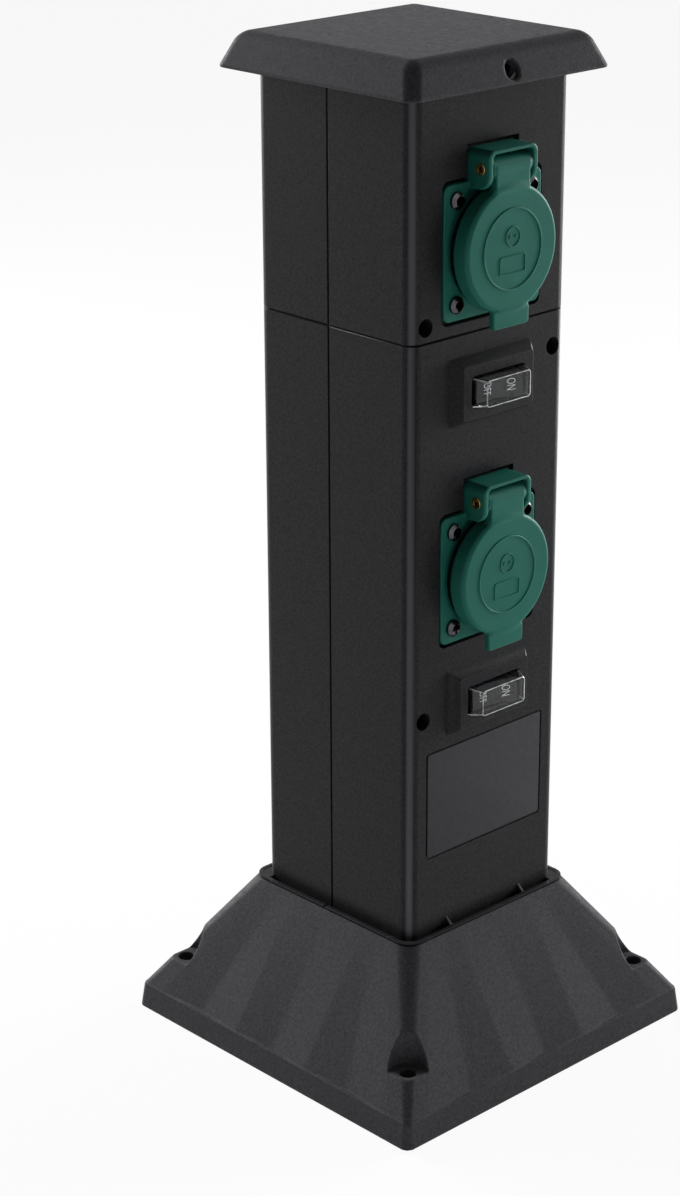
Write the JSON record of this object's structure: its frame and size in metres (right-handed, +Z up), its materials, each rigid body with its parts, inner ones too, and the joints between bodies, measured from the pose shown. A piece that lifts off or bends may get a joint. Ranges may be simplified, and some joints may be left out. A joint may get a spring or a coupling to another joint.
{
  "type": "garden socket post",
  "caption": "Free-standing square plastic outdoor power post on a pyramid base, with sprung green socket lids, covered rocker switches and an overhanging cap.",
  "frame": {"origin": "middle of the base's underside, on the ground", "axes": "+Z up the column, -Y out of the front face with the sockets, +X to the right seen from the front"},
  "size_m": [0.158, 0.158, 0.4],
  "materials": {
    "black_plastic": "fine spark-eroded texture",
    "green_plastic": "satin moulded",
    "black_gloss_plastic": "semi-gloss moulded",
    "pale_plastic": "natural nylon",
    "clear_plastic": "clear, smooth",
    "black_rubber": "matt",
    "steel": "zinc plated",
    "dark_steel": "dark plated",
    "brass": "drawn",
    "brown_insulation": "extruded",
    "blue_insulation": "extruded",
    "earth_insulation": "extruded"
  },
  "bodies": {
    "post": {"base": "black_plastic", "lower_front_shell": "black_plastic", "lower_rear_shell": "black_plastic", "upper_front_shell": "black_plastic", "upper_rear_shell": "black_plastic", "cap": "black_plastic", "shell_screws": "steel", "base_screws": "steel", "cap_screws": "steel", "cable_grommet": "black_rubber", "terminal_block": "pale_plastic", "terminal_clamps": "brass", "terminal_screws": "steel", "live_wires": "brown_insulation", "neutral_wires": "blue_insulation", "earth_wires": "earth_insulation", "upper_socket_gasket": "black_rubber", "upper_socket_frame": "green_plastic", "upper_socket_insert": "black_gloss_plastic", "upper_socket_contacts": "brass", "upper_earth_clip": "brass", "upper_socket_screws": "dark_steel", "upper_hinge_pin": "brass", "upper_lid_spring": "steel", "upper_switch_body": "black_gloss_plastic", "upper_switch_terminals": "brass", "upper_switch_cover": "clear_plastic", "lower_socket_gasket": "black_rubber", "lower_socket_frame": "green_plastic", "lower_socket_insert": "black_gloss_plastic", "lower_socket_contacts": "brass", "lower_earth_clip": "brass", "lower_socket_screws": "dark_steel", "lower_hinge_pin": "brass", "lower_lid_spring": "steel", "lower_switch_body": "black_gloss_plastic", "lower_switch_terminals": "brass", "lower_switch_cover": "clear_plastic"},
    "upper_lid": {"upper_lid": "green_plastic", "upper_lid_seal": "black_rubber"},
    "upper_rocker": {"upper_rocker": "black_gloss_plastic", "upper_contact_bridge": "brass"},
    "lower_lid": {"lower_lid": "green_plastic", "lower_lid_seal": "black_rubber"},
    "lower_rocker": {"lower_rocker": "black_gloss_plastic", "lower_contact_bridge": "brass"}
  },
  "joints": [
    {"name": "upper_lid_hinge", "type": "hinge", "parent": "post", "child": "upper_lid", "pos_m": [0, -0.04685, 0.358], "axis": [-1, 0, 0], "range_deg": [0, 100], "stiffness_Nm_per_rad": 0.03, "springref_deg": -45.84, "deforming": ["upper_lid_spring"]},
    {"name": "lower_lid_hinge", "type": "hinge", "parent": "post", "child": "lower_lid", "pos_m": [0, -0.04685, 0.2337], "axis": [-1, 0, 0], "range_deg": [0, 100], "stiffness_Nm_per_rad": 0.03, "springref_deg": -45.84, "deforming": ["lower_lid_spring"]},
    {"name": "upper_rocker_tilt", "type": "hinge", "parent": "post", "child": "upper_rocker", "pos_m": [0, -0.03925, 0.2759], "axis": [0, 0, 1], "range_deg": [0, 16]},
    {"name": "lower_rocker_tilt", "type": "hinge", "parent": "post", "child": "lower_rocker", "pos_m": [0, -0.03925, 0.1541], "axis": [0, 0, 1], "range_deg": [0, 16]}
  ]
}
